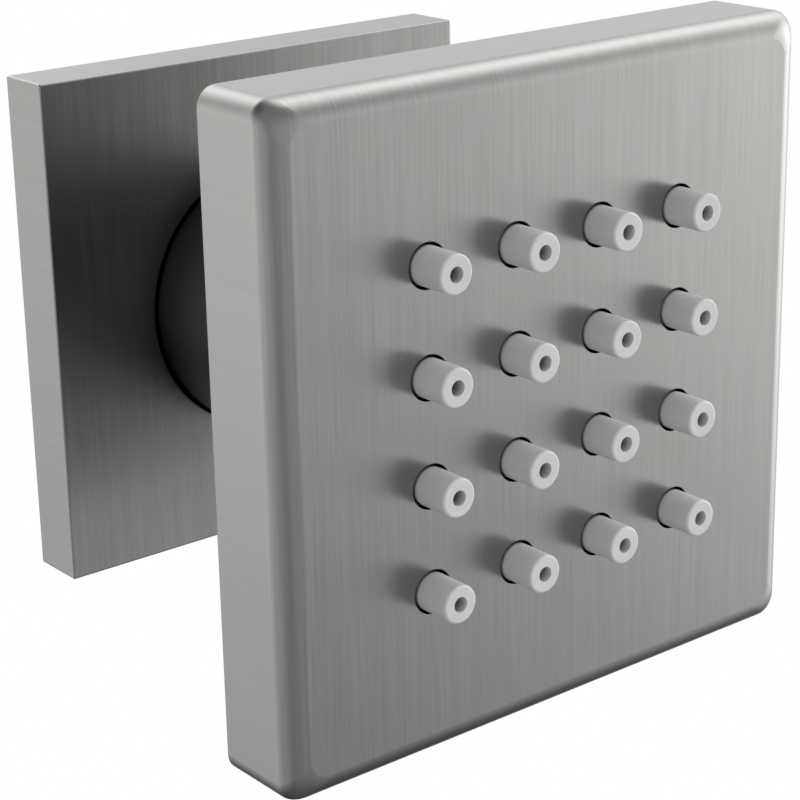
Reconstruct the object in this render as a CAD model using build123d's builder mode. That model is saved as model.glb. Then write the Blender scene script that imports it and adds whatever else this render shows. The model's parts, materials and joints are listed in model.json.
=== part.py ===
from build123d import *
import os
from math import acos, cos, degrees, radians, sin, sqrt, tan

# Shower body jet: a square spray head on a ball swivel that screws onto a pipe in the wall.
# Millimetres. The wall is the plane Y = 0, the head sprays towards -Y and Z is up.
# The origin is the middle of the inlet's mouth. A depth is a distance from the wall.

# Wall plate
plate_side = 63.8
plate_depth = 7.7
plate_front_wall = 2.4
plate_rim_wall = 1.8
plate_edge_break = 0.25
plate_hole_gap = 0.35
collar_wall = 1.9
collar_setback = 1.2
groove_land = 1.4
rib_width = 2.0
plate_ring_section = 2.0

# Foam seal at the wall
wall_seal_width = 3.6
wall_seal_depth = 2.0

# Pipe inlet, with the root radius of a half-inch taper pipe thread
inlet_bore_radius = 10.3
inlet_thread_depth = 15.5
inlet_wall = 3.0
inlet_web = 1.7
inlet_outlet_radius = 4.4
bell_thread_length = 13.0
bell_thread_step = 0.6
spanner_slot_width = 4.0
spanner_slot_depth = 2.5
body_ring_section = 1.8

# Strainer
screen_radius = 8.6
screen_depth = 1.6
screen_mesh_radius = 6.8
screen_mesh_thickness = 0.6
screen_hole_diameter = 1.5
screen_hole_pitch = 2.4
screen_rings = 3

# Flow regulator
regulator_radius = 7.0
regulator_depth = 4.2
regulator_wall = 1.0
regulator_floor = 1.2
regulator_post_radius = 2.3
regulator_post_flutes = 6
regulator_flute_radius = 0.5
regulator_ring_section = 1.6
regulator_port_diameter = 1.3

# Ball swivel
ball_radius = 10.0
swivel_limit = 15.0
stem_radius = 5.2
water_radius = 3.4
friction_ring_thickness = 1.1
friction_ring_front_angle = 66.0
friction_ring_rear_angle = 92.0
friction_ring_slit = 1.2
seat_wall = 1.4
seat_lip_angle = 52.0
seat_lip_land = 1.4
seat_cone_start = 1.0
seat_rear_gap = 0.5
rear_seat_front = 4.4
rear_seat_bore_radius = 4.8
ball_seal_section = 1.7
ball_seal_angle = 124.0
spring_height = 2.0
spring_thickness = 0.8
spring_inner_radius = 7.4

# Bell
skirt_wall = 4.0
dome_start = 12.0
nose_wall = 2.0
nose_land = 2.2
nose_round = 0.8
nose_stem_gap = 0.5
swing_gap = 1.2
wrench_flat_depth = 1.6
wrench_flat_length = 7.0
wrench_flat_setback = 4.0

# Stem
hexagon_across_flats = 16.0
hexagon_depth = 3.0
stem_thread_radius = 5.0
stem_ring_section = 1.5

# Spray head
head_side = 78.0
head_depth = 12.0
head_corner_radius = 2.4
head_edge_radius = 2.8
head_edge_sections = 9
face_wall = 1.8
side_wall = 2.0
boss_radius = 3.2
boss_inset = 3.8
rib_wall = 1.2
rib_height = 2.6
back_plate_depth = 3.0
hub_radius = 8.4
hub_depth = 2.3

# Nozzles and the water chamber behind them
nozzles_per_side = 4
nozzle_pitch = 12.5
nozzle_diameter = 4.5
nozzle_reach = 4.7
nozzle_tip_round = 0.28
nozzle_orifice_diameter = 1.8
nozzle_inlet_diameter = 2.8
face_hole_diameter = 5.25
mat_thickness = 1.8
mat_corner_radius = 6.0
spray_plate_floor = 2.2
spray_plate_rim = 3.4
feed_hole_diameter = 3.2
chamber_seal_width = 1.4
chamber_seal_height = 1.5

# Screws of the back plate
screw_diameter = 2.6
screw_length = 8.0
screw_head_diameter = 5.4
screw_cone_angle = 90.0
screw_hole_play = 0.4
screw_end_gap = 0.5
screw_socket_width = 2.0
screw_socket_depth = 1.2

# Clearances
running_gap = 0.05
seat_gap = 0.03
slip_gap = 0.15


def wall_plane(depth):
    """Plane parallel to the wall at a depth, facing the room."""
    return Plane.XZ.offset(depth)


def room_plane(depth):
    """Plane parallel to the wall at a depth, facing the wall."""
    return Plane(wall_plane(depth).origin, x_dir=(1, 0, 0), z_dir=(0, 1, 0))


def on_axis(radius, depth):
    """Sketch point on Plane.XY of a profile turned about the Y axis."""
    return (radius, -depth)


# Reach of the swivel: both limits together tilt the stem by this angle
cone_limit = degrees(acos(cos(radians(swivel_limit)) ** 2))
cone_sin = sin(radians(cone_limit))
cone_cos = cos(radians(cone_limit))

# Shells about the ball's centre, from the ball outwards
ring_inner = ball_radius + running_gap
ring_outer = ring_inner + friction_ring_thickness
seat_sphere = ring_outer + running_gap
seat_outer = seat_sphere + seat_wall
bell_bore = seat_outer + running_gap

# Radii of the bell
thread_radius = max(inlet_bore_radius + inlet_wall, seat_outer + bell_thread_step)
bell_thread = thread_radius + running_gap
bell_radius = bell_thread + skirt_wall
plate_hole = bell_radius + plate_hole_gap

# Depths from the wall to the ball's centre
screen_start = inlet_thread_depth
regulator_start = screen_start + screen_depth
web_start = regulator_start + regulator_depth
inlet_front = web_start + inlet_web
rear_seat_back = inlet_front + spring_height
pivot_depth = rear_seat_back + ball_radius

# The front seat's lip and the bell's nose, ahead of the ball's centre
lip_radius = seat_sphere * sin(radians(seat_lip_angle))
lip_ahead = seat_sphere * cos(radians(seat_lip_angle))
seat_front_radius = lip_radius + seat_lip_land
nose_ahead = lip_ahead + running_gap + nose_wall
nose_opening = nose_ahead * cone_sin / cone_cos + stem_radius / cone_cos + nose_stem_gap
nose_radius = nose_opening + nose_land
nose_swing = nose_ahead * cone_cos + nose_radius * cone_sin

# The head follows from the swing of the bell's nose
hexagon_ahead = nose_swing + swing_gap
head_rear = pivot_depth + hexagon_ahead + hexagon_depth
head_front = head_rear + head_depth
face_inside = head_front - face_wall
mat_back = face_inside - mat_thickness
tray_back = mat_back - spray_plate_floor
back_plate_front = head_rear + back_plate_depth
nozzle_tip = head_front + nozzle_reach

# Plan sizes inside the head
shell_inside = head_side - 2 * side_wall
boss_place = shell_inside / 2 - boss_inset
tray_half = boss_place - boss_radius - rib_wall - 2 * slip_gap
tray_side = 2 * tray_half
rib_inside = tray_side + 2 * slip_gap
rib_corner = mat_corner_radius + slip_gap


def ahead(distance):
    """Depth of a point ahead of the ball's centre."""
    return pivot_depth + distance


def ball_arc(radius, first, last):
    """Arc about the ball's centre between two angles from the spray axis."""
    return CenterArc(on_axis(0, pivot_depth), radius, first - 90, last - first)


def on_ball(radius, angle):
    """Point at an angle from the spray axis on a sphere about the ball's centre."""
    return on_axis(radius * sin(radians(angle)), ahead(radius * cos(radians(angle))))


def o_ring(section, centre_radius, depth, name):
    """Round-section ring about the Y axis."""
    with BuildPart() as ring:
        with BuildSketch(Plane.XY):
            with Locations(on_axis(centre_radius, depth)):
                Circle(section / 2)
        revolve(axis=Axis.Y)
    ring.part.label = name
    return ring.part


# Wall plate: a square cap, hollow behind, with a ribbed collar that holds the ring
groove_floor = bell_radius + plate_ring_section + 2 * seat_gap
groove_width = plate_ring_section + slip_gap
groove_depth = plate_depth - groove_land - groove_width
collar_radius = groove_floor + collar_wall
seal_side = plate_side - 2 * plate_rim_wall
pocket_side = seal_side - 2 * wall_seal_width

with BuildPart() as wall_plate:
    with BuildSketch(wall_plane(0)):
        Rectangle(plate_side, plate_side)
    extrude(amount=plate_depth)
    fillet(wall_plate.edges().filter_by(Axis.Y), plate_edge_break)
    fillet(wall_plate.faces().sort_by(Axis.Y)[0].edges(), plate_edge_break)
    with BuildSketch(wall_plane(0)):
        Rectangle(seal_side, seal_side)
    extrude(amount=wall_seal_depth, mode=Mode.SUBTRACT)
    with BuildSketch(wall_plane(wall_seal_depth)):
        Rectangle(pocket_side, pocket_side)
    extrude(amount=plate_depth - plate_front_wall - wall_seal_depth, mode=Mode.SUBTRACT)
    with BuildSketch(wall_plane(wall_seal_depth)):
        Rectangle(pocket_side, rib_width)
        Rectangle(rib_width, pocket_side)
    extrude(amount=plate_depth - plate_front_wall - wall_seal_depth)
    with BuildSketch(wall_plane(collar_setback)):
        Circle(collar_radius)
    extrude(amount=plate_depth - plate_front_wall - collar_setback)
    with BuildSketch(wall_plane(0)):
        Circle(plate_hole)
    extrude(amount=plate_depth, mode=Mode.SUBTRACT)
    with BuildSketch(wall_plane(groove_depth)):
        Circle(groove_floor)
    extrude(amount=groove_width, mode=Mode.SUBTRACT)
wall_plate.part.label = "wall_plate"

# Foam seal in the step inside the plate's rim
with BuildPart() as wall_seal:
    with BuildSketch(wall_plane(0)):
        Rectangle(seal_side - 2 * slip_gap, seal_side - 2 * slip_gap)
        Rectangle(pocket_side, pocket_side, mode=Mode.SUBTRACT)
    extrude(amount=wall_seal_depth)
wall_seal.part.label = "wall_seal"

plate_o_ring = o_ring(
    plate_ring_section,
    bell_radius + seat_gap + plate_ring_section / 2,
    groove_depth + groove_width / 2,
    "plate_o_ring",
)

# Bell: a turned housing, threaded behind, domed to a nose that the stem comes out of
bell_cone_radius = seat_front_radius + running_gap
flat_front = ahead(-wrench_flat_setback)
flat_place = bell_bore + skirt_wall - wrench_flat_depth

with BuildPart() as bell_housing:
    with BuildSketch(Plane.XY):
        with BuildLine():
            Polyline(on_axis(bell_thread, 0), on_axis(bell_radius, 0), on_axis(bell_radius, dome_start))
            TangentArc(
                on_axis(bell_radius, dome_start),
                on_axis(nose_radius, ahead(nose_ahead)),
                tangent=(0, -1),
            )
            Polyline(
                on_axis(nose_radius, ahead(nose_ahead)),
                on_axis(nose_opening, ahead(nose_ahead)),
                on_axis(lip_radius, ahead(lip_ahead + running_gap)),
                on_axis(bell_cone_radius, ahead(lip_ahead + running_gap)),
                on_axis(bell_bore, ahead(seat_cone_start)),
                on_axis(bell_bore, bell_thread_length),
                on_axis(bell_thread, bell_thread_length),
                on_axis(bell_thread, 0),
            )
        make_face()
    revolve(axis=Axis.Y)
    nose_edges = bell_housing.edges().filter_by(GeomType.CIRCLE).group_by(Axis.Y)[0]
    fillet(nose_edges.sort_by(SortBy.RADIUS)[-1], nose_round)
    with BuildSketch(wall_plane(flat_front - wrench_flat_length)):
        with Locations((0, flat_place + bell_radius / 2), (0, -flat_place - bell_radius / 2)):
            Rectangle(2 * bell_radius, bell_radius)
    extrude(amount=wrench_flat_length, mode=Mode.SUBTRACT)
bell_housing.part.label = "bell_housing"

# Inlet body: pipe thread behind, then the pockets of the strainer and the regulator
ring_place = (regulator_start + inlet_front) / 2
ring_floor = bell_bore - body_ring_section - 2 * seat_gap
body_groove_width = body_ring_section + slip_gap

with BuildPart() as inlet_body:
    with BuildSketch(Plane.XY):
        with BuildLine():
            Polyline(
                on_axis(inlet_bore_radius, 0),
                on_axis(thread_radius, 0),
                on_axis(thread_radius, bell_thread_length - running_gap),
                on_axis(seat_outer, bell_thread_length - running_gap),
                on_axis(seat_outer, inlet_front),
                on_axis(inlet_outlet_radius, inlet_front),
                on_axis(inlet_outlet_radius, web_start),
                on_axis(regulator_radius, web_start),
                on_axis(regulator_radius, regulator_start),
                on_axis(screen_radius, regulator_start),
                on_axis(screen_radius, screen_start),
                on_axis(inlet_bore_radius, screen_start),
                close=True,
            )
        make_face()
    revolve(axis=Axis.Y)
    with BuildSketch(wall_plane(ring_place - body_groove_width / 2)):
        Circle(seat_outer)
        Circle(ring_floor, mode=Mode.SUBTRACT)
    extrude(amount=body_groove_width, mode=Mode.SUBTRACT)
    with BuildSketch(wall_plane(0)):
        Rectangle(2 * thread_radius, spanner_slot_width)
        Circle(inlet_bore_radius, mode=Mode.SUBTRACT)
    extrude(amount=spanner_slot_depth, mode=Mode.SUBTRACT)
inlet_body.part.label = "inlet_body"

body_o_ring = o_ring(
    body_ring_section,
    bell_bore - seat_gap - body_ring_section / 2,
    ring_place,
    "body_o_ring",
)

# Strainer: a ring with a perforated disc
with BuildPart() as inlet_screen:
    with BuildSketch(wall_plane(screen_start)):
        Circle(screen_radius - running_gap)
        Circle(screen_mesh_radius, mode=Mode.SUBTRACT)
    extrude(amount=screen_depth)
    with BuildSketch(wall_plane(regulator_start - screen_mesh_thickness)):
        Circle(screen_mesh_radius)
        Circle(screen_hole_diameter / 2, mode=Mode.SUBTRACT)
        for ring in range(1, screen_rings):
            with PolarLocations(ring * screen_hole_pitch, 6 * ring):
                Circle(screen_hole_diameter / 2, mode=Mode.SUBTRACT)
    extrude(amount=screen_mesh_thickness)
inlet_screen.part.label = "inlet_screen"

# Flow regulator: a cup with a fluted post, round which a soft ring flexes
post_ring_place = regulator_post_radius + seat_gap + regulator_ring_section / 2
regulator_outer = regulator_radius - running_gap

with BuildPart() as flow_regulator:
    with BuildSketch(wall_plane(regulator_start)):
        Circle(regulator_outer)
        Circle(regulator_outer - regulator_wall, mode=Mode.SUBTRACT)
        Circle(regulator_post_radius)
        with PolarLocations(regulator_post_radius, regulator_post_flutes):
            Circle(regulator_flute_radius, mode=Mode.SUBTRACT)
    extrude(amount=regulator_depth)
    with BuildSketch(wall_plane(web_start - regulator_floor)):
        Circle(regulator_outer)
        with PolarLocations(post_ring_place, regulator_post_flutes):
            Circle(regulator_port_diameter / 2, mode=Mode.SUBTRACT)
    extrude(amount=regulator_floor)
flow_regulator.part.label = "flow_regulator"

regulator_o_ring = o_ring(
    regulator_ring_section,
    post_ring_place,
    web_start - regulator_floor - seat_gap - regulator_ring_section / 2,
    "regulator_o_ring",
)

# Disc spring: a shallow cone between the inlet body and the rear seat
spring_outer_radius = seat_outer - slip_gap
spring_rise = spring_height - spring_thickness

with BuildPart() as disc_spring:
    with BuildSketch(Plane.XY):
        with BuildLine():
            Polyline(
                on_axis(spring_inner_radius, inlet_front),
                on_axis(spring_outer_radius, inlet_front + spring_rise),
                on_axis(spring_outer_radius, rear_seat_back),
                on_axis(spring_inner_radius, inlet_front + spring_thickness),
                close=True,
            )
        make_face()
    revolve(axis=Axis.Y)
disc_spring.part.label = "disc_spring"

# Rear seat: a ring with a hollow spherical face and a groove for the ball's seal
rear_seat_edge = sqrt(ring_inner**2 - rear_seat_front**2)
rear_seat_foot = sqrt(ring_inner**2 - rear_seat_bore_radius**2)
edge_angle = 90 + degrees(acos(rear_seat_edge / ring_inner))
foot_angle = 90 + degrees(acos(rear_seat_bore_radius / ring_inner))
ball_seal_place = on_ball(ball_radius + seat_gap + ball_seal_section / 2, ball_seal_angle)

with BuildPart() as rear_seat:
    with BuildSketch(Plane.XY):
        with BuildLine():
            ball_arc(ring_inner, edge_angle, foot_angle)
            Polyline(
                on_axis(rear_seat_bore_radius, ahead(-rear_seat_foot)),
                on_axis(rear_seat_bore_radius, rear_seat_back),
                on_axis(seat_outer, rear_seat_back),
                on_axis(seat_outer, ahead(-rear_seat_front)),
                on_axis(rear_seat_edge, ahead(-rear_seat_front)),
            )
        make_face()
        with Locations(ball_seal_place):
            Circle(ball_seal_section / 2 + seat_gap, mode=Mode.SUBTRACT)
    revolve(axis=Axis.Y)
rear_seat.part.label = "rear_seat"

ball_seal = o_ring(ball_seal_section, ball_seal_place[0], -ball_seal_place[1], "ball_seal")

# Front seat: a coned bush whose hollow sphere holds the ball back from the nose
with BuildPart() as front_seat:
    with BuildSketch(Plane.XY):
        with BuildLine():
            ball_arc(seat_sphere, seat_lip_angle, 90)
            Polyline(
                on_axis(seat_sphere, pivot_depth),
                on_axis(seat_sphere, ahead(seat_rear_gap - rear_seat_front)),
                on_axis(seat_outer, ahead(seat_rear_gap - rear_seat_front)),
                on_axis(seat_outer, ahead(seat_cone_start)),
                on_axis(seat_front_radius, ahead(lip_ahead)),
                on_axis(lip_radius, ahead(lip_ahead)),
            )
        make_face()
    revolve(axis=Axis.Y)
front_seat.part.label = "front_seat"

# Friction ring: a split spherical band round the ball
with BuildPart() as friction_ring:
    with BuildSketch(Plane.XY):
        with BuildLine():
            ball_arc(ring_inner, friction_ring_front_angle, friction_ring_rear_angle)
            ball_arc(ring_outer, friction_ring_front_angle, friction_ring_rear_angle)
            for edge in (friction_ring_front_angle, friction_ring_rear_angle):
                Line(on_ball(ring_inner, edge), on_ball(ring_outer, edge))
        make_face()
    revolve(axis=Axis.Y)
    with BuildSketch(Plane.XY):
        with Locations(on_axis(0, pivot_depth)):
            Rectangle(friction_ring_slit, 2 * ring_outer)
    extrude(amount=ring_outer, mode=Mode.SUBTRACT)
friction_ring.part.label = "friction_ring"

# Ball with its stem, wrench hexagon and threaded end, bored for the water
ball_neck = sqrt(ball_radius**2 - stem_radius**2)
ball_mouth = sqrt(ball_radius**2 - water_radius**2)
hub_front = back_plate_front + hub_depth

with BuildPart() as swivel_ball:
    with BuildSketch(Plane.XY):
        with BuildLine():
            ThreePointArc(
                on_axis(water_radius, ahead(-ball_mouth)),
                on_axis(ball_radius, pivot_depth),
                on_axis(stem_radius, ahead(ball_neck)),
            )
            Polyline(
                on_axis(stem_radius, ahead(ball_neck)),
                on_axis(stem_radius, head_rear),
                on_axis(stem_thread_radius, head_rear),
                on_axis(stem_thread_radius, hub_front),
                on_axis(water_radius, hub_front),
                on_axis(water_radius, ahead(-ball_mouth)),
            )
        make_face()
    revolve(axis=Axis.Y)
    with BuildSketch(wall_plane(head_rear - hexagon_depth)):
        RegularPolygon(hexagon_across_flats / 2, 6, major_radius=False)
        Circle(stem_radius, mode=Mode.SUBTRACT)
    extrude(amount=hexagon_depth)
swivel_ball.part.label = "swivel_ball"

# Back plate: closes the head, with a threaded hub inside and countersunk holes at its corners
back_plate_side = shell_inside - 2 * slip_gap
back_plate_corner = max(head_corner_radius - side_wall, slip_gap) + slip_gap
hub_bore = stem_thread_radius + running_gap
stem_groove_radius = hub_bore + stem_ring_section + 2 * seat_gap
screw_radius = screw_diameter / 2
screw_head_radius = screw_head_diameter / 2

with BuildPart() as back_plate:
    with BuildSketch(wall_plane(head_rear)):
        RectangleRounded(back_plate_side, back_plate_side, back_plate_corner)
    extrude(amount=back_plate_depth)
    with BuildSketch(wall_plane(back_plate_front)):
        Circle(hub_radius)
    extrude(amount=hub_depth)
    with BuildSketch(wall_plane(head_rear)):
        Circle(hub_bore)
    extrude(amount=back_plate_depth + hub_depth, mode=Mode.SUBTRACT)
    with BuildSketch(wall_plane(head_rear)):
        Circle(stem_groove_radius)
    extrude(amount=stem_ring_section + seat_gap, mode=Mode.SUBTRACT)
    with Locations(room_plane(head_rear)):
        with GridLocations(2 * boss_place, 2 * boss_place, 2, 2):
            CounterSinkHole(
                screw_radius + screw_hole_play,
                screw_head_radius + running_gap,
                counter_sink_angle=screw_cone_angle,
            )
back_plate.part.label = "back_plate"

stem_o_ring = o_ring(
    stem_ring_section,
    hub_bore + seat_gap + stem_ring_section / 2,
    head_rear + seat_gap + stem_ring_section / 2,
    "stem_o_ring",
)

# Face shell: the visible head, with corner bosses for the screws and a rib that places the mat.
# Its front edge rolls over in a quarter circle, and its corners keep one radius all the way.
boss_drill_depth = screw_length - back_plate_depth + screw_end_gap

with BuildPart() as face_shell:
    with BuildSketch(wall_plane(head_rear)):
        RectangleRounded(head_side, head_side, head_corner_radius)
    extrude(amount=head_depth - head_edge_radius)
    for section in range(head_edge_sections):
        turn = radians(90 * section / (head_edge_sections - 1))
        edge_side = head_side - 2 * head_edge_radius * (1 - cos(turn))
        with BuildSketch(wall_plane(head_front - head_edge_radius * (1 - sin(turn)))):
            RectangleRounded(edge_side, edge_side, head_corner_radius)
    loft()
    with BuildSketch(wall_plane(head_rear)):
        RectangleRounded(shell_inside, shell_inside, back_plate_corner)
    extrude(amount=head_depth - face_wall, mode=Mode.SUBTRACT)
    with BuildSketch(wall_plane(back_plate_front)):
        with GridLocations(2 * boss_place, 2 * boss_place, 2, 2):
            Circle(boss_radius)
    extrude(amount=face_inside - back_plate_front)
    with BuildSketch(wall_plane(face_inside - rib_height)):
        RectangleRounded(rib_inside + 2 * rib_wall, rib_inside + 2 * rib_wall, rib_corner + rib_wall)
        RectangleRounded(rib_inside, rib_inside, rib_corner, mode=Mode.SUBTRACT)
    extrude(amount=rib_height)
    with BuildSketch(wall_plane(back_plate_front)):
        with GridLocations(2 * boss_place, 2 * boss_place, 2, 2):
            Circle(screw_radius + running_gap)
    extrude(amount=boss_drill_depth, mode=Mode.SUBTRACT)
    with BuildSketch(wall_plane(face_inside)):
        with GridLocations(nozzle_pitch, nozzle_pitch, nozzles_per_side, nozzles_per_side):
            Circle(face_hole_diameter / 2)
    extrude(amount=face_wall, mode=Mode.SUBTRACT)
face_shell.part.label = "face_shell"

# Nozzle mat: one soft moulding, a sheet with a grid of bored nozzles
with BuildPart() as nozzle_mat:
    with BuildSketch(wall_plane(mat_back)):
        RectangleRounded(tray_side, tray_side, mat_corner_radius)
    extrude(amount=mat_thickness)
    with BuildSketch(wall_plane(face_inside)):
        with GridLocations(nozzle_pitch, nozzle_pitch, nozzles_per_side, nozzles_per_side):
            Circle(nozzle_diameter / 2)
    extrude(amount=nozzle_tip - face_inside)
    fillet(nozzle_mat.faces().group_by(Axis.Y)[0].edges(), nozzle_tip_round)
    with BuildSketch(wall_plane(mat_back)):
        with GridLocations(nozzle_pitch, nozzle_pitch, nozzles_per_side, nozzles_per_side):
            Circle(nozzle_inlet_diameter / 2)
    extrude(amount=face_inside - mat_back + face_wall, mode=Mode.SUBTRACT)
    with BuildSketch(wall_plane(head_front)):
        with GridLocations(nozzle_pitch, nozzle_pitch, nozzles_per_side, nozzles_per_side):
            Circle(nozzle_orifice_diameter / 2)
    extrude(amount=nozzle_reach, mode=Mode.SUBTRACT)
nozzle_mat.part.label = "nozzle_mat"

# Spray plate: a tray behind the mat, with a feed hole for each nozzle
seal_groove = chamber_seal_width + slip_gap
seal_line = tray_side - spray_plate_rim
seal_corner = mat_corner_radius - spray_plate_rim / 2


def square_ring(line_side, line_corner, width):
    """Flat ring with a rounded square centre line, in the open sketch."""
    outer = line_side + width
    inner = line_side - width
    RectangleRounded(outer, outer, line_corner + width / 2)
    RectangleRounded(inner, inner, line_corner - width / 2, mode=Mode.SUBTRACT)


with BuildPart() as spray_plate:
    with BuildSketch(wall_plane(tray_back)):
        RectangleRounded(tray_side, tray_side, mat_corner_radius)
    extrude(amount=spray_plate_floor)
    with BuildSketch(wall_plane(back_plate_front)):
        square_ring(seal_line, seal_corner, spray_plate_rim)
    extrude(amount=tray_back - back_plate_front)
    with BuildSketch(wall_plane(back_plate_front)):
        square_ring(seal_line, seal_corner, seal_groove)
    extrude(amount=chamber_seal_height, mode=Mode.SUBTRACT)
    with BuildSketch(wall_plane(tray_back)):
        with GridLocations(nozzle_pitch, nozzle_pitch, nozzles_per_side, nozzles_per_side):
            Circle(feed_hole_diameter / 2)
    extrude(amount=spray_plate_floor, mode=Mode.SUBTRACT)
spray_plate.part.label = "spray_plate"

# Seal between the tray and the back plate
with BuildPart() as chamber_seal:
    with BuildSketch(wall_plane(back_plate_front)):
        square_ring(seal_line, seal_corner, chamber_seal_width)
    extrude(amount=chamber_seal_height)
chamber_seal.part.label = "chamber_seal"

# Countersunk screws, one at each corner of the back plate
screw_cone_depth = (screw_head_radius - screw_radius) / tan(radians(screw_cone_angle / 2))

with BuildPart() as back_screws:
    with Locations(wall_plane(head_rear)):
        with GridLocations(2 * boss_place, 2 * boss_place, 2, 2):
            Cylinder(screw_radius, screw_length, align=(Align.CENTER, Align.CENTER, Align.MIN))
            Cone(
                screw_head_radius,
                screw_radius,
                screw_cone_depth,
                align=(Align.CENTER, Align.CENTER, Align.MIN),
            )
    with BuildSketch(wall_plane(head_rear)):
        with GridLocations(2 * boss_place, 2 * boss_place, 2, 2):
            RegularPolygon(screw_socket_width / 2, 6, major_radius=False)
    extrude(amount=screw_socket_depth, mode=Mode.SUBTRACT)
back_screws.part.label = "back_screws"

# One file for each piece
pieces = [
    wall_plate.part,
    wall_seal.part,
    plate_o_ring,
    bell_housing.part,
    inlet_body.part,
    body_o_ring,
    inlet_screen.part,
    flow_regulator.part,
    regulator_o_ring,
    disc_spring.part,
    rear_seat.part,
    ball_seal,
    front_seat.part,
    friction_ring.part,
    swivel_ball.part,
    stem_o_ring,
    back_plate.part,
    chamber_seal.part,
    spray_plate.part,
    nozzle_mat.part,
    face_shell.part,
    back_screws.part,
]
os.makedirs("parts", exist_ok=True)
for piece in pieces:
    export_step(piece, f"parts/{piece.label}.step")
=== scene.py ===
import json
import math

import bpy
from mathutils import Matrix, Vector


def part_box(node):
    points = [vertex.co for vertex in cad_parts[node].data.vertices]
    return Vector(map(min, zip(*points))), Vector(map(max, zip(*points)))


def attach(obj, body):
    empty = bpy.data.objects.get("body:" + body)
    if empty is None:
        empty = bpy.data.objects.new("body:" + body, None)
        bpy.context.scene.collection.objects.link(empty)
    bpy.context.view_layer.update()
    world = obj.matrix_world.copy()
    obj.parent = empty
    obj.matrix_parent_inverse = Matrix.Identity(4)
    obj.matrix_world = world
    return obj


# Shower body jet. Metres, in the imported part's frame: the wall is Y = 0, Z is up, the head faces -Y.
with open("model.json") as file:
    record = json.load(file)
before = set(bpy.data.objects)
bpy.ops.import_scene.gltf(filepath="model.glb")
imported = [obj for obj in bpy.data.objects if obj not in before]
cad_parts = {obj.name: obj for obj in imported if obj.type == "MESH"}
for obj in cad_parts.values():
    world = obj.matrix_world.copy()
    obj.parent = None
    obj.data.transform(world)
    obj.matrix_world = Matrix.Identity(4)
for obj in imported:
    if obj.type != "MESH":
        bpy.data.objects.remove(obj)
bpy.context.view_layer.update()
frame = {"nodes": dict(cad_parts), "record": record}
nodes = frame["nodes"]
scene = bpy.context.scene
scene.view_settings.view_transform = "Standard"

MM = 0.001
BLACK = (0.0, 0.0, 0.0, 1.0)
WHITE = (1.0, 1.0, 1.0, 1.0)

# Camera, as fitted to the photo: its lens in pixels and its angles in degrees
PHOTO_SIDE = 800
PHOTO_FOCAL = 2272.94
PHOTO_AXIS = (422.2, 372.8)
CAMERA_PLACE = Vector((-165.357, -242.679, 84.125)) * MM
CAMERA_AZIMUTH = -39.132
CAMERA_ELEVATION = 18.472
CAMERA_ROLL = -1.007
CAMERA_CLIP = 10.0 * MM
SENSOR_WIDTH = 36.0

# Brushing: fine lines and broad streaks, with their width across and their length along
LINE_WIDTH = 0.3 * MM
LINE_LENGTH = 18.0 * MM
LINE_LAYER = 0.0
LINE_DEPTH = 0.0015 * MM
LINE_GLOSS = 0.02
STREAK_WIDTH = 1.6 * MM
STREAK_LENGTH = 70.0 * MM
STREAK_LAYER = 7.0
STREAK_SHARE = 0.3

# Share of the normal along Y from which a face is a front, and the brushing's strength on other faces
FRONT_SHARE = 0.3
SIDE_SHARE = 0.5
PLAIN_TINT = 0.5

# Moulded surfaces: slow changes of colour, and how far gloss and light spread
CLOUD_SCALE = 0.04
CLOUD_DETAIL = 2.0
CLOUD_CONTRAST = 0.04
GRAIN_DETAIL = 4.0
GRAIN_GLOSS = 0.05
GLOW_RADIUS = (1.0, 0.9, 0.8)
GLOW_SCALE = 0.8 * MM

# Foam: its cells and their colours
FOAM_CELL = 0.5 * MM
FOAM_DEPTH = 0.12 * MM
FOAM_DARK = (0.02, 0.02, 0.022, 1.0)
FOAM_LIGHT = (0.09, 0.09, 0.095, 1.0)
FOAM_ROUGHNESS = 0.85

# Middle range of a noise value, and samples of a rounded edge
NOISE_LOW = 0.3
NOISE_HIGH = 0.7
EDGE_SAMPLES = 4

# Openings: the nozzles stand in a square grid of holes about the middle of the face
NOZZLE_PITCH = 12.5 * MM
BORE_RADIUS = 1.0 * MM
FACE_HOLE_RADIUS = 2.7 * MM
PLATE_HOLE_RADIUS = 17.8 * MM
NOZZLE_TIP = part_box("nozzle_mat")[0][1]
FACE_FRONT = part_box("face_shell")[0][1]
PLATE_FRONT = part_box("wall_plate")[0][1]

# Painted shade in holes, bores, nozzle roots and the bell's gap: where along Y each fades, and the share of
# its colour that is left there
FACE_HOLE_FADE = (FACE_FRONT, FACE_FRONT + 0.25 * MM)
FACE_HOLE_LEFT = 0.05
PLATE_HOLE_FADE = (PLATE_FRONT, PLATE_FRONT + 0.3 * MM)
PLATE_HOLE_LEFT = 0.1
BELL_FADE = (PLATE_FRONT - 8.0 * MM, PLATE_FRONT)
BELL_LEFT = 0.3
BORE_FADE = (NOZZLE_TIP + 0.3 * MM, NOZZLE_TIP + 2.0 * MM)
BORE_LEFT = 0.25
ROOT_FADE = (FACE_FRONT - 0.1 * MM, FACE_FRONT + 0.5 * MM)
ROOT_LEFT = 0.1


def feed(tree, socket, value):
    """Links a socket to an input, or sets the input to a plain value."""
    if isinstance(value, bpy.types.NodeSocket):
        tree.links.new(value, socket)
    elif value is not None:
        socket.default_value = value


def node(tree, kind, inputs=None, **settings):
    """Adds a shader node with its settings and inputs."""
    made = tree.nodes.new("ShaderNode" + kind)
    for key, value in settings.items():
        setattr(made, key, value)
    for key, value in (inputs or {}).items():
        feed(tree, made.inputs[key], value)
    return made


def calc(tree, operation, a, b=None, c=None):
    """Math node: its result."""
    made = node(tree, "Math", operation=operation)
    for socket, value in zip(made.inputs, (a, b, c)):
        feed(tree, socket, value)
    return made.outputs[0]


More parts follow.
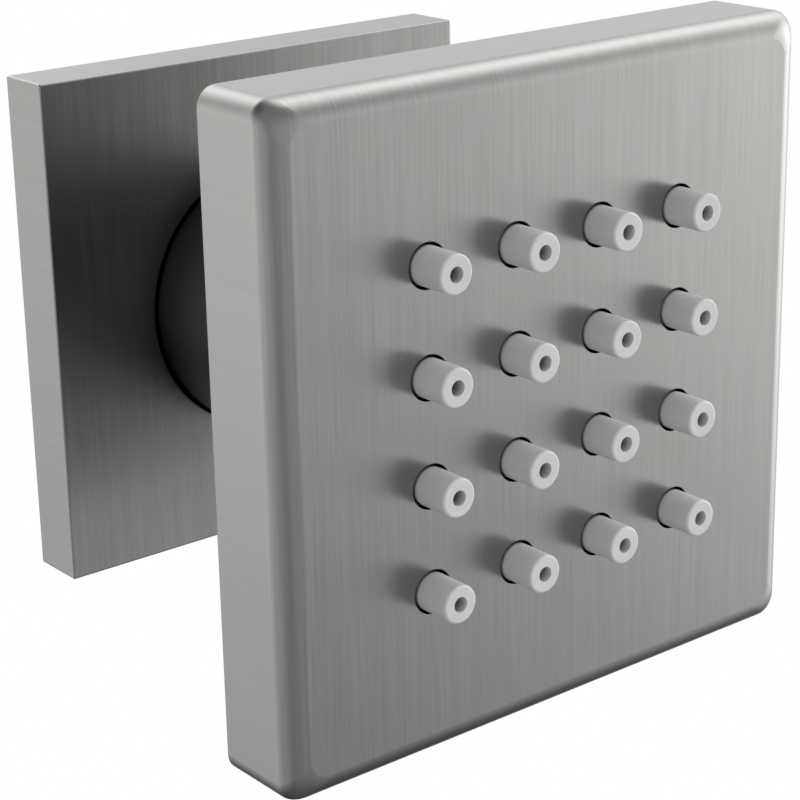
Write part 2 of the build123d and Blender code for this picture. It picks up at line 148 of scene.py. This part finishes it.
def choose(tree, factor, low, high):
    """Number between two others by a factor."""
    return node(tree, "Mix", {0: factor, 2: low, 3: high}, data_type="FLOAT").outputs[0]


def blend_colour(tree, factor, low, high):
    """Colour between two others by a factor."""
    return node(tree, "Mix", {0: factor, 6: low, 7: high}, data_type="RGBA").outputs[2]


def joined(tree, x, y, z):
    """Vector of three numbers."""
    return node(tree, "CombineXYZ", {0: x, 1: y, 2: z}).outputs[0]


def split(tree, vector):
    """Three numbers of a vector."""
    return node(tree, "SeparateXYZ", {0: vector}).outputs


def where(tree):
    """Coordinates of a point in the piece's rest frame."""
    return node(tree, "TexCoord").outputs["Object"]


def ramp(tree, value, start, end, first, last):
    """Number that goes from first to last while a value goes from start to end."""
    return node(tree, "MapRange", {0: value, 1: start, 2: end, 3: first, 4: last}).outputs[0]


def spread(tree, value, low, high):
    """Maps a noise value's middle range to low and high."""
    return ramp(tree, value, NOISE_LOW, NOISE_HIGH, low, high)


def off_axis(tree, x, z):
    """Distance from an axis along Y."""
    return node(tree, "VectorMath", {0: joined(tree, x, 0.0, z)}, operation="LENGTH").outputs["Value"]


def noise(tree, vector, scale=1.0, detail=3.0, roughness=0.55):
    """Noise value at a vector."""
    inputs = {"Vector": vector, "Scale": scale, "Detail": detail, "Roughness": roughness}
    return node(tree, "TexNoise", inputs).outputs["Fac"]


def new_material(name):
    """Material with its tree and shader."""
    material = bpy.data.materials.new(name)
    material.use_nodes = True
    return material, material.node_tree, material.node_tree.nodes["Principled BSDF"]


def relief(tree, shader, height, depth, edge=0.0):
    """Feeds the shader a bumped normal, over rounded edges where edge is set."""
    bump = node(tree, "Bump", {"Strength": 1.0, "Distance": depth, "Height": height})
    if edge:
        rounded = node(tree, "Bevel", {"Radius": edge}, samples=EDGE_SAMPLES)
        feed(tree, bump.inputs["Normal"], rounded.outputs[0])
    feed(tree, shader.inputs["Normal"], bump.outputs[0])


def world_direction(tree, vector):
    """Direction turned from the object's frame to the world's."""
    frames = {"vector_type": "VECTOR", "convert_from": "OBJECT", "convert_to": "WORLD"}
    return node(tree, "VectorTransform", {0: vector}, **frames).outputs[0]


def brushed_lines(tree):
    """Coordinates along straight brushing: upright on front faces, level in depth and fainter on the sides.
    Gives the number across the lines, the number along them, the direction across them and their strength."""
    point = node(tree, "TexCoord").outputs
    x, y, z = split(tree, point["Object"])
    facing = [calc(tree, "ABSOLUTE", part) for part in split(tree, point["Normal"])]
    front = calc(tree, "GREATER_THAN", facing[1], FRONT_SHARE)
    upright = calc(tree, "GREATER_THAN", facing[0], facing[2])
    side = calc(tree, "MULTIPLY", upright, calc(tree, "SUBTRACT", 1.0, front))
    along = choose(tree, front, y, z)
    across = choose(tree, side, x, z)
    direction = joined(tree, calc(tree, "SUBTRACT", 1.0, side), 0.0, side)
    return across, along, world_direction(tree, direction), choose(tree, front, SIDE_SHARE, 1.0)


def turned_lines(tree):
    """Coordinates along the rings of a piece turned about the Y axis, as brushed_lines gives them."""
    point = node(tree, "TexCoord").outputs
    x, y, z = split(tree, point["Object"])
    radius = off_axis(tree, x, z)
    across = calc(tree, "ADD", y, radius)
    along = calc(tree, "MULTIPLY", calc(tree, "ARCTAN2", z, x), radius)
    ring = joined(tree, z, 0.0, calc(tree, "MULTIPLY", x, -1.0))
    crossed = node(tree, "VectorMath", {0: point["Normal"], 1: ring}, operation="CROSS_PRODUCT")
    return across, along, world_direction(tree, crossed.outputs["Vector"]), 1.0


def nozzle_radius(tree, x, z):
    """Distance from the middle of the nearest nozzle."""
    wrapped = [calc(tree, "WRAP", part, NOZZLE_PITCH, 0.0) for part in (x, z)]
    return off_axis(tree, *(calc(tree, "SUBTRACT", part, NOZZLE_PITCH / 2) for part in wrapped))


def face_hole_painted_shade(tree):
    """Painted shade: share of the colour and edge reflection that is left, less on the walls of the face's
    holes.
    """
    x, y, z = split(tree, where(tree))
    inside = calc(tree, "LESS_THAN", nozzle_radius(tree, x, z), FACE_HOLE_RADIUS)
    return choose(tree, inside, 1.0, ramp(tree, y, *FACE_HOLE_FADE, 1.0, FACE_HOLE_LEFT))


def plate_hole_painted_shade(tree):
    """Painted shade: share of the colour and edge reflection that is left, less on the wall of the plate's
    hole.
    """
    x, y, z = split(tree, where(tree))
    inside = calc(tree, "LESS_THAN", off_axis(tree, x, z), PLATE_HOLE_RADIUS)
    return choose(tree, inside, 1.0, ramp(tree, y, *PLATE_HOLE_FADE, 1.0, PLATE_HOLE_LEFT))


def bell_painted_shade(tree):
    """Painted shade: share of the colour and edge reflection that is left, less where the bell goes into the
    plate's hole.
    """
    y = split(tree, where(tree))[1]
    return ramp(tree, y, *BELL_FADE, 1.0, BELL_LEFT)


def nozzle_painted_shade(tree):
    """Painted shade: share of the colour that is left, less down the bores and behind the face."""
    x, y, z = split(tree, where(tree))
    inside = calc(tree, "LESS_THAN", nozzle_radius(tree, x, z), BORE_RADIUS)
    bore = ramp(tree, y, *BORE_FADE, 1.0, BORE_LEFT)
    root = ramp(tree, y, *ROOT_FADE, 1.0, ROOT_LEFT)
    return choose(tree, inside, root, bore)


def varied(tree, factor, rgb, contrast):
    """Colour made darker or lighter by a factor."""
    dark, light = ((*(part * level for part in rgb), 1.0) for level in (1 - contrast, 1 + contrast))
    return blend_colour(tree, factor, dark, light)


def drawn_out(tree, across, along, width, reach, layer):
    """Noise drawn out along the lines."""
    place = joined(tree, calc(tree, "DIVIDE", across, width), calc(tree, "DIVIDE", along, reach), layer)
    return noise(tree, place)


def lined_metal(name, rgb, contrast, roughness, lines, anisotropy, edge, shade=None):
    """Metal with fine lines in its colour, gloss and relief; where a shade is given, painted shade darkens
    its colour and dims its edge reflection.
    """
    material, tree, shader = new_material(name)
    across, along, direction, strength = lines(tree)
    fine = drawn_out(tree, across, along, LINE_WIDTH, LINE_LENGTH, LINE_LAYER)
    broad = drawn_out(tree, across, along, STREAK_WIDTH, STREAK_LENGTH, STREAK_LAYER)
    tint = choose(tree, STREAK_SHARE, spread(tree, fine, 0.0, 1.0), spread(tree, broad, 0.0, 1.0))
    colour = varied(tree, choose(tree, strength, PLAIN_TINT, tint), rgb, contrast)
    # Painted shade: colour darkened and edge reflection dimmed where the shade function gives less than 1
    if shade:
        share = shade(tree)
        colour = blend_colour(tree, share, BLACK, colour)
        feed(tree, shader.inputs["Specular Tint"], blend_colour(tree, share, BLACK, WHITE))
    feed(tree, shader.inputs["Base Color"], colour)
    gloss = spread(tree, fine, roughness - LINE_GLOSS, roughness + LINE_GLOSS)
    feed(tree, shader.inputs["Roughness"], gloss)
    shader.inputs["Metallic"].default_value = 1.0
    shader.inputs["Anisotropic"].default_value = anisotropy
    feed(tree, shader.inputs["Tangent"], direction)
    relief(tree, shader, fine, LINE_DEPTH, edge)
    return material


def soft_material(name, rgb, roughness, grain_size, depth, subsurface=0.0, edge=0.0, shade=None):
    """Plastic, rubber or silicone with a moulded grain."""
    material, tree, shader = new_material(name)
    place = where(tree)
    grain = noise(tree, place, 1.0 / grain_size, GRAIN_DETAIL)
    cloud = noise(tree, place, CLOUD_SCALE / grain_size, CLOUD_DETAIL)
    colour = varied(tree, spread(tree, cloud, 0.0, 1.0), rgb, CLOUD_CONTRAST)
    # Painted shade: colour darkened where the shade function gives less than 1
    if shade:
        colour = blend_colour(tree, shade(tree), BLACK, colour)
    feed(tree, shader.inputs["Base Color"], colour)
    gloss = spread(tree, grain, roughness - GRAIN_GLOSS, roughness + GRAIN_GLOSS)
    feed(tree, shader.inputs["Roughness"], gloss)
    shader.inputs["Subsurface Weight"].default_value = subsurface
    shader.inputs["Subsurface Radius"].default_value = GLOW_RADIUS
    shader.inputs["Subsurface Scale"].default_value = GLOW_SCALE
    relief(tree, shader, grain, depth, edge)
    return material


def foam_material(name):
    """Closed-cell foam: small round cells in a dark skin."""
    material, tree, shader = new_material(name)
    cells = node(tree, "TexVoronoi", {"Vector": where(tree), "Scale": 1.0 / FOAM_CELL}).outputs["Distance"]
    feed(tree, shader.inputs["Base Color"], blend_colour(tree, cells, FOAM_DARK, FOAM_LIGHT))
    shader.inputs["Roughness"].default_value = FOAM_ROUGHNESS
    relief(tree, shader, cells, FOAM_DEPTH)
    return material


NICKEL = (0.31, 0.306, 0.298)
BRUSHED = {"lines": brushed_lines}
TURNED = {"lines": turned_lines}
MOULDED = {"grain_size": 0.3 * MM, "depth": 0.006 * MM}

# Looks of the metals and of the moulded materials, by material slot. The plate's is a softer brushing.
METALS = {
    "brushed_nickel": dict(
        BRUSHED, rgb=NICKEL, contrast=0.08, roughness=0.25, anisotropy=0.7, edge=0.12 * MM,
        shade=face_hole_painted_shade,
    ),
    "plate_nickel": dict(
        BRUSHED, rgb=NICKEL, contrast=0.12, roughness=0.32, anisotropy=0.5, edge=0.12 * MM,
        shade=plate_hole_painted_shade,
    ),
    "back_nickel": dict(
        BRUSHED, rgb=(0.26, 0.256, 0.25), contrast=0.05, roughness=0.36, anisotropy=0.3, edge=0.1 * MM
    ),
    # The bell's nickel is darker than the head's: partly a dark plating, partly painted shade for its place
    # between plate and head
    "turned_nickel": dict(
        TURNED, rgb=(0.16, 0.158, 0.154), contrast=0.03, roughness=0.2, anisotropy=0.2, edge=0.12 * MM,
        shade=bell_painted_shade,
    ),
    "bright_nickel": dict(
        TURNED, rgb=(0.72, 0.7, 0.67), contrast=0.04, roughness=0.12, anisotropy=0.4, edge=0.1 * MM
    ),
    "stainless": dict(
        TURNED, rgb=(0.66, 0.66, 0.66), contrast=0.08, roughness=0.24, anisotropy=0.4, edge=0.06 * MM
    ),
    "brass": dict(
        TURNED, rgb=(0.72, 0.55, 0.28), contrast=0.08, roughness=0.26, anisotropy=0.5, edge=0.1 * MM
    ),
}
SOFT = {
    "silicone": dict(
        rgb=(0.78, 0.78, 0.78), roughness=0.5, grain_size=0.15 * MM, depth=0.004 * MM, edge=0.05 * MM,
        shade=nozzle_painted_shade,
    ),
    "black_rubber": dict(rgb=(0.03, 0.03, 0.03), roughness=0.55, grain_size=0.2 * MM, depth=0.01 * MM),
    "acetal": dict(MOULDED, rgb=(0.82, 0.82, 0.79), roughness=0.4, subsurface=0.2, edge=0.08 * MM),
    "friction_plastic": dict(MOULDED, rgb=(0.5, 0.5, 0.48), roughness=0.45),
    "screen_plastic": dict(MOULDED, rgb=(0.75, 0.76, 0.76), roughness=0.35, subsurface=0.2, edge=0.05 * MM),
    "regulator_plastic": dict(MOULDED, rgb=(0.16, 0.32, 0.52), roughness=0.38, subsurface=0.1),
}

materials = {name: lined_metal(name, **look) for name, look in METALS.items()}
materials.update({name: soft_material(name, **look) for name, look in SOFT.items()})
materials["foam"] = foam_material("foam")

for subpart in frame["record"]["subparts"]:
    cad_node = nodes[subpart["node"]]
    cad_node.data.materials.clear()
    cad_node.data.materials.append(materials[subpart["material_slot"]])
nodes["wall_plate"].data.materials[0] = materials["plate_nickel"]


def about_axis(section, turns):
    """Corners of a section, given by radius and place along Y, after some turns about the Y axis."""
    angle = 2 * math.pi * turns
    return [(radius * math.cos(angle), y, radius * math.sin(angle)) for radius, y in section]


def wound_piece(name, sections, material, closed=False):
    """Object of sections with four corners each, joined in a row: a ring if closed, else with flat ends."""
    corners = [corner for section in sections for corner in section]
    last = len(corners) - 4
    faces = [] if closed else [(0, 1, 2, 3), (last + 3, last + 2, last + 1, last)]
    for step in range(len(sections) if closed else len(sections) - 1):
        for side in range(4):
            start, end = 4 * step + side, 4 * step + (side + 1) % 4
            faces.append([corner % len(corners) for corner in (start, start + 4, end + 4, end)])
    mesh = bpy.data.meshes.new(name)
    mesh.from_pydata(corners, [], faces)
    mesh.materials.append(material)
    piece = bpy.data.objects.new(name, mesh)
    scene.collection.objects.link(piece)
    return piece


# Half-inch pipe thread of the inlet, with 14 turns an inch
THREAD_PITCH = 25.4 / 14 * MM
THREAD_LENGTH = 15.5 * MM
THREAD_ROOT = 10.3 * MM
THREAD_CREST = 9.4 * MM
THREAD_SINK = 0.05 * MM
THREAD_FLANK = 0.44 * THREAD_PITCH
THREAD_FLAT = 0.06 * THREAD_PITCH
THREAD_STEPS = 72


def inlet_thread():
    """Ridge of the pipe thread, wound into the inlet from the wall side.
    It rises over its first turn and fades over its last."""
    count = int((THREAD_LENGTH / THREAD_PITCH - 1.0) * THREAD_STEPS)
    base = THREAD_ROOT + THREAD_SINK
    sections = []
    for step in range(count + 1):
        turns = step / THREAD_STEPS
        middle = -THREAD_PITCH * (0.5 + turns)
        full = min(1.0, turns, (count - step) / THREAD_STEPS)
        crest = THREAD_ROOT - (THREAD_ROOT - THREAD_CREST) * full
        section = (
            (base, middle - THREAD_FLANK),
            (crest, middle - THREAD_FLAT),
            (crest, middle + THREAD_FLAT),
            (base, middle + THREAD_FLANK),
        )
        sections.append(about_axis(section, turns))
    thread = wound_piece("inlet_thread", sections, materials["brass"])
    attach(thread, "fixture")


inlet_thread()

# Band where the plate's O-ring is pressed flat on the bell: half its width, and its reach into ring and bell
PRESSED_HALF = 0.3 * MM
PRESSED_INTO_RING = 0.1 * MM
PRESSED_INTO_BELL = 0.05 * MM
PRESSED_STEPS = 128


def ring_band():
    """Band where the plate's O-ring is pressed flat on the bell, which closes the gap between them."""
    low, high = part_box("plate_o_ring")
    middle = (low[1] + high[1]) / 2
    inside = high[0] - (high[1] - low[1])
    section = (
        (inside + PRESSED_INTO_RING, middle - PRESSED_HALF),
        (inside - PRESSED_INTO_BELL, middle - PRESSED_HALF),
        (inside - PRESSED_INTO_BELL, middle + PRESSED_HALF),
        (inside + PRESSED_INTO_RING, middle + PRESSED_HALF),
    )
    sections = [about_axis(section, step / PRESSED_STEPS) for step in range(PRESSED_STEPS)]
    band = wound_piece("plate_ring_band", sections, materials["black_rubber"], closed=True)
    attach(band, "fixture")


ring_band()


def place_camera():
    """Camera with the photo's place, aim and lens. Gives the direction that it looks in."""
    azimuth, elevation = math.radians(CAMERA_AZIMUTH), math.radians(CAMERA_ELEVATION)
    level = math.cos(elevation)
    ahead = -Vector((math.sin(azimuth) * level, -math.cos(azimuth) * level, math.sin(elevation)))
    lens = bpy.data.cameras.new("camera")
    lens.sensor_width = SENSOR_WIDTH
    lens.lens = SENSOR_WIDTH * PHOTO_FOCAL / PHOTO_SIDE
    lens.shift_x = (PHOTO_SIDE / 2 - PHOTO_AXIS[0]) / PHOTO_SIDE
    lens.shift_y = (PHOTO_AXIS[1] - PHOTO_SIDE / 2) / PHOTO_SIDE
    lens.clip_start = CAMERA_CLIP
    camera = bpy.data.objects.new("camera", lens)
    aim = ahead.to_track_quat("-Z", "Y").to_matrix().to_4x4()
    roll = Matrix.Rotation(math.radians(CAMERA_ROLL), 4, "Z")
    camera.matrix_world = Matrix.Translation(CAMERA_PLACE) @ aim @ roll
    scene.collection.objects.link(camera)
    scene.camera = camera
    return ahead


view_direction = place_camera()

# Soft lights of the studio: compass angle from +X towards +Y, height, sharpness and strength
STUDIO_LIGHTS = {
    "right": (342.5, -2.5, 10.5, 3.88),
    "right_back": (46.0, -13.0, 16.0, 2.4),
    "back_left": (132.0, -7.5, 7.0, 1.43),
    "back_top": (87.0, 24.0, 16.0, 3.1),
    "top": (12.0, 46.5, 6.8, 2.8),
    "left": (189.0, -8.0, 5.0, 0.7),
    "front": (271.0, -3.0, 4.1, 0.7),
    "over_camera": (225.0, 52.0, 6.0, 0.34),
    "below": (300.0, -75.0, 5.0, 0.16),
}


def light_world():
    """Dark studio with soft lights round it, each a smooth bright patch of the world."""
    world = bpy.data.worlds.new("studio")
    world.use_nodes = True
    scene.world = world
    tree = world.node_tree
    direction = node(tree, "TexCoord").outputs["Generated"]
    total = 0.0
    for compass, height, sharpness, strength in STUDIO_LIGHTS.values():
        turn, rise = math.radians(compass), math.radians(height)
        centre = (math.cos(turn) * math.cos(rise), math.sin(turn) * math.cos(rise), math.sin(rise))
        near = node(tree, "VectorMath", {0: direction, 1: centre}, operation="DOT_PRODUCT").outputs["Value"]
        fall = calc(tree, "EXPONENT", calc(tree, "MULTIPLY_ADD", near, sharpness, -sharpness))
        total = calc(tree, "MULTIPLY_ADD", fall, strength, total)
    feed(tree, tree.nodes["Background"].inputs["Color"], total)


light_world()

# Floor: its height, its near and far ends along the view with half their widths, and its finish
FLOOR_HEIGHT = -0.5
FLOOR_NEAR, FLOOR_NEAR_HALF = 0.62, 0.26
FLOOR_FAR, FLOOR_FAR_HALF = 4.6, 1.1
FLOOR_COLOUR = (0.8, 0.8, 0.8, 1.0)
FLOOR_ROUGHNESS = 0.9


def white_floor():
    """Pale floor far below, which fills the camera's view: white to the camera and to reflections."""
    ahead = Vector((view_direction.x, view_direction.y, 0.0)).normalized()
    aside = Vector((ahead.y, -ahead.x, 0.0))
    corners = [
        ahead * FLOOR_NEAR - aside * FLOOR_NEAR_HALF,
        ahead * FLOOR_NEAR + aside * FLOOR_NEAR_HALF,
        ahead * FLOOR_FAR + aside * FLOOR_FAR_HALF,
        ahead * FLOOR_FAR - aside * FLOOR_FAR_HALF,
    ]
    mesh = bpy.data.meshes.new("floor")
    mesh.from_pydata([(c.x, c.y, FLOOR_HEIGHT) for c in corners], [], [(0, 1, 2, 3)])
    floor = bpy.data.objects.new("floor", mesh)
    scene.collection.objects.link(floor)
    material, tree, shader = new_material("floor")
    shader.inputs["Base Color"].default_value = FLOOR_COLOUR
    shader.inputs["Roughness"].default_value = FLOOR_ROUGHNESS
    rays = node(tree, "LightPath").outputs
    mirrored = calc(tree, "MAXIMUM", rays["Is Glossy Ray"], rays["Is Transmission Ray"])
    seen = calc(tree, "MAXIMUM", rays["Is Camera Ray"], mirrored)
    glow = node(tree, "Emission", {"Color": WHITE, "Strength": 1.0})
    mixed = node(tree, "MixShader", {0: seen, 1: shader.outputs[0], 2: glow.outputs[0]})
    feed(tree, tree.nodes["Material Output"].inputs["Surface"], mixed.outputs[0])
    mesh.materials.append(material)


white_floor()
